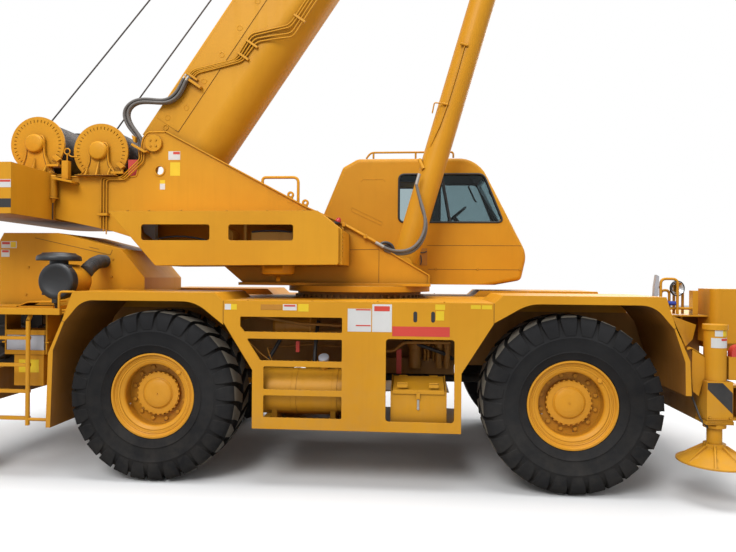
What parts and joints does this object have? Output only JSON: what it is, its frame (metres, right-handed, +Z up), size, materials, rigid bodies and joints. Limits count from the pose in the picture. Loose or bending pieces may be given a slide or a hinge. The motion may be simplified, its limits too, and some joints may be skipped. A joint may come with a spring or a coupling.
{
  "type": "rough-terrain mobile crane",
  "caption": "Four-wheel rough-terrain crane: steered axles, outriggers, slewing turret with cab and winches, lift cylinder and telescopic boom with hook block.",
  "frame": {"origin": "under the middle of the machine's bounding box, at the height where the tyres touch the ground", "axes": "+X to the front of the carrier, +Y to its left, +Z up"},
  "size_m": [8.8247, 3.42, 12.525],
  "materials": {
    "yellow_paint": "satin",
    "wheel_paint": "satin",
    "tyre_rubber": "matte",
    "dark_steel": "matte",
    "rod_chrome": "polished",
    "window_glass": "clear",
    "seat_fabric": "woven",
    "black_plastic": "matte",
    "lamp_glass": "gloss",
    "grey_case": "matte"
  },
  "bodies": {
    "root": {"chassis": "yellow_paint", "outrigger_boxes": "yellow_paint", "front_fenders": "yellow_paint", "rear_fenders": "yellow_paint", "side_panels": "yellow_paint", "deck": "yellow_paint", "rear_deck": "yellow_paint", "hood": "yellow_paint", "powertrain": "dark_steel", "air_cleaner": "black_plastic", "muffler": "dark_steel", "tanks": "yellow_paint", "tool_box": "yellow_paint", "battery_box": "grey_case", "ladders": "yellow_paint", "front_end": "yellow_paint", "lamps": "lamp_glass", "axles": "yellow_paint"},
    "tool_lid": {"tool_lid": "yellow_paint"},
    "knuckle_front_left": {"knuckle_front_left": "yellow_paint"},
    "wheel_front_left": {"rim_front_left": "wheel_paint", "tyre_front_left": "tyre_rubber"},
    "knuckle_front_right": {"knuckle_front_right": "yellow_paint"},
    "wheel_front_right": {"rim_front_right": "wheel_paint", "tyre_front_right": "tyre_rubber"},
    "front_tie_rod": {"front_tie_rod": "dark_steel"},
    "knuckle_rear_left": {"knuckle_rear_left": "yellow_paint"},
    "wheel_rear_left": {"rim_rear_left": "wheel_paint", "tyre_rear_left": "tyre_rubber"},
    "knuckle_rear_right": {"knuckle_rear_right": "yellow_paint"},
    "wheel_rear_right": {"rim_rear_right": "wheel_paint", "tyre_rear_right": "tyre_rubber"},
    "rear_tie_rod": {"rear_tie_rod": "dark_steel"},
    "beam_front_left": {"beam_front_left": "yellow_paint"},
    "jack_front_left": {"jack_front_left": "yellow_paint"},
    "beam_front_right": {"beam_front_right": "yellow_paint"},
    "jack_front_right": {"jack_front_right": "yellow_paint"},
    "beam_rear_left": {"beam_rear_left": "yellow_paint"},
    "jack_rear_left": {"jack_rear_left": "yellow_paint"},
    "beam_rear_right": {"beam_rear_right": "yellow_paint"},
    "jack_rear_right": {"jack_rear_right": "yellow_paint"},
    "turret": {"turret_frame": "yellow_paint", "turret_base": "yellow_paint", "counterweight": "yellow_paint", "valve_box": "yellow_paint", "cab_shell": "yellow_paint", "cab_glass": "window_glass", "cab_seat": "seat_fabric"},
    "cab_door": {"cab_door": "yellow_paint"},
    "drum_main": {"drum_main": "yellow_paint"},
    "drum_aux": {"drum_aux": "yellow_paint"},
    "boom_base": {"boom_base": "yellow_paint"},
    "boom_second": {"boom_second": "yellow_paint"},
    "boom_third": {"boom_third": "yellow_paint"},
    "boom_fly": {"boom_fly": "yellow_paint", "head_sheaves": "yellow_paint"},
    "hook_block": {"hook_block": "yellow_paint"},
    "lift_rod": {"lift_rod": "rod_chrome"},
    "lift_barrel": {"lift_barrel": "yellow_paint"}
  },
  "joints": [
    {"name": "tool_lid_hinge", "type": "hinge", "parent": "root", "child": "tool_lid", "pos_m": [0.36365, -1.058, 0.97], "axis": [-1, 0, 0], "range_deg": [0, 95]},
    {"name": "steer_front_left", "type": "hinge", "parent": "root", "child": "knuckle_front_left", "pos_m": [1.72865, 0.97, 0.8], "axis": [0, 0, 1], "range_deg": [-24, 24]},
    {"name": "roll_front_left", "type": "hinge", "parent": "knuckle_front_left", "child": "wheel_front_left", "pos_m": [1.72865, 1.19, 0.8], "axis": [0, 1, 0], "continuous": true},
    {"name": "steer_front_right", "type": "hinge", "parent": "root", "child": "knuckle_front_right", "pos_m": [1.72865, -0.97, 0.8], "axis": [0, 0, 1], "range_deg": [-24, 24]},
    {"name": "roll_front_right", "type": "hinge", "parent": "knuckle_front_right", "child": "wheel_front_right", "pos_m": [1.72865, -1.19, 0.8], "axis": [0, 1, 0], "continuous": true},
    {"name": "tie_front", "type": "slide", "parent": "root", "child": "front_tie_rod", "axis": [0, 1, 0], "range_m": [-0.08379, 0.08379]},
    {"name": "steer_rear_left", "type": "hinge", "parent": "root", "child": "knuckle_rear_left", "pos_m": [-2.12135, 0.97, 0.8], "axis": [0, 0, 1], "range_deg": [-24, 24]},
    {"name": "roll_rear_left", "type": "hinge", "parent": "knuckle_rear_left", "child": "wheel_rear_left", "pos_m": [-2.12135, 1.19, 0.8], "axis": [0, 1, 0], "continuous": true},
    {"name": "steer_rear_right", "type": "hinge", "parent": "root", "child": "knuckle_rear_right", "pos_m": [-2.12135, -0.97, 0.8], "axis": [0, 0, 1], "range_deg": [-24, 24]},
    {"name": "roll_rear_right", "type": "hinge", "parent": "knuckle_rear_right", "child": "wheel_rear_right", "pos_m": [-2.12135, -1.19, 0.8], "axis": [0, 1, 0], "continuous": true},
    {"name": "tie_rear", "type": "slide", "parent": "root", "child": "rear_tie_rod", "axis": [0, 1, 0], "range_m": [-0.08379, 0.08379]},
    {"name": "beam_slide_front_left", "type": "slide", "parent": "root", "child": "beam_front_left", "axis": [0, 1, 0], "range_m": [0, 1.9]},
    {"name": "jack_slide_front_left", "type": "slide", "parent": "beam_front_left", "child": "jack_front_left", "axis": [0, 0, -1], "range_m": [0, 0.56]},
    {"name": "beam_slide_front_right", "type": "slide", "parent": "root", "child": "beam_front_right", "axis": [0, -1, 0], "range_m": [0, 1.9]},
    {"name": "jack_slide_front_right", "type": "slide", "parent": "beam_front_right", "child": "jack_front_right", "axis": [0, 0, -1], "range_m": [0, 0.56]},
    {"name": "beam_slide_rear_left", "type": "slide", "parent": "root", "child": "beam_rear_left", "axis": [0, 1, 0], "range_m": [0, 1.9]},
    {"name": "jack_slide_rear_left", "type": "slide", "parent": "beam_rear_left", "child": "jack_rear_left", "axis": [0, 0, -1], "range_m": [0, 0.56]},
    {"name": "beam_slide_rear_right", "type": "slide", "parent": "root", "child": "beam_rear_right", "axis": [0, -1, 0], "range_m": [0, 1.9]},
    {"name": "jack_slide_rear_right", "type": "slide", "parent": "beam_rear_right", "child": "jack_rear_right", "axis": [0, 0, -1], "range_m": [0, 0.56]},
    {"name": "slew", "type": "hinge", "parent": "root", "child": "turret", "pos_m": [-0.31135, 0, 1.77], "axis": [0, 0, 1], "continuous": true},
    {"name": "cab_door_slide", "type": "slide", "parent": "turret", "child": "cab_door", "axis": [-1, 0, 0], "range_m": [0, 0.6]},
    {"name": "wind_main", "type": "hinge", "parent": "turret", "child": "drum_main", "pos_m": [-3.93035, 0, 3.392], "axis": [0, 1, 0], "continuous": true},
    {"name": "wind_aux", "type": "hinge", "parent": "turret", "child": "drum_aux", "pos_m": [-3.18935, 0, 3.306], "axis": [0, 1, 0], "continuous": true},
    {"name": "luff", "type": "hinge", "parent": "turret", "child": "boom_base", "pos_m": [-2.55135, 0, 3.38], "axis": [0, -1, 0], "range_deg": [-56.6, 24.4]},
    {"name": "reach_second", "type": "slide", "parent": "boom_base", "child": "boom_second", "axis": [0.565, 0, 0.8251], "range_m": [0, 7.66]},
    {"name": "reach_third", "type": "slide", "parent": "boom_second", "child": "boom_third", "axis": [0.565, 0, 0.8251], "range_m": [0, 7.66]},
    {"name": "reach_fly", "type": "slide", "parent": "boom_third", "child": "boom_fly", "axis": [0.565, 0, 0.8251], "range_m": [0, 7.66]},
    {"name": "hook_swing", "type": "hinge", "parent": "boom_fly", "child": "hook_block", "pos_m": [4.19135, 0, 12.09467], "axis": [0, -1, 0], "range_deg": [-24.41, 56.61]},
    {"name": "lift_swing", "type": "hinge", "parent": "boom_base", "child": "lift_rod", "pos_m": [2.16, 0, 8.88014], "axis": [0, -1, 0], "range_deg": [-11.96, 5.16]},
    {"name": "lift_stroke", "type": "slide", "parent": "lift_rod", "child": "lift_barrel", "axis": [-0.2777, 0, -0.9607], "range_m": [-2.6356, 1.1368]}
  ],
  "couplings": [
    {"joint": "steer_front_right", "follows": "steer_front_left", "ratio": 1},
    {"joint": "tie_front", "follows": "steer_front_left", "m_per_rad": 0.2},
    {"joint": "steer_rear_right", "follows": "steer_rear_left", "ratio": 1},
    {"joint": "tie_rear", "follows": "steer_rear_left", "m_per_rad": -0.2},
    {"joint": "reach_third", "follows": "reach_second", "ratio": 1},
    {"joint": "reach_fly", "follows": "reach_second", "ratio": 1},
    {"joint": "hook_swing", "follows": "luff", "ratio": -1},
    {"joint": "lift_swing", "follows": "luff", "ratio": 0.2111},
    {"joint": "lift_stroke", "follows": "luff", "m_per_rad": 2.667}
  ]
}
